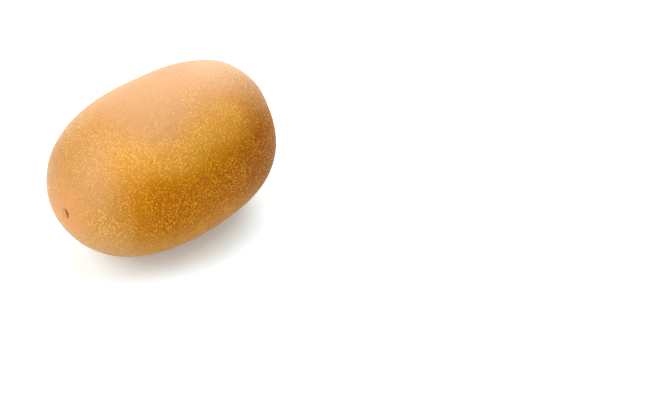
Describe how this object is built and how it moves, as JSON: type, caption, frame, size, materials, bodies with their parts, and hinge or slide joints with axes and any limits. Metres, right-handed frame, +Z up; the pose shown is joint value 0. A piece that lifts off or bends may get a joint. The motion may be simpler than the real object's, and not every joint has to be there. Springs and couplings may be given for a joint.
{
  "type": "golden kiwi fruit",
  "caption": "Whole golden kiwi fruit with its thin, smooth, finely dotted skin on, lying on its side on a small flat spot; food for a bowl, table or shop display.",
  "frame": {"origin": "on the resting surface, under the middle of the fruit's box", "axes": "+X along the fruit from the stem scar to the blossom end, +Y across it, +Z up"},
  "size_m": [0.0784, 0.0518, 0.0505],
  "materials": {
    "skin": "thin hairless fruit skin, satin, golden brown with fine pale raised dots and a dark dry scar at each end"
  },
  "bodies": {
    "root": {"kiwi_fruit": "skin"}
  },
  "joints": []
}
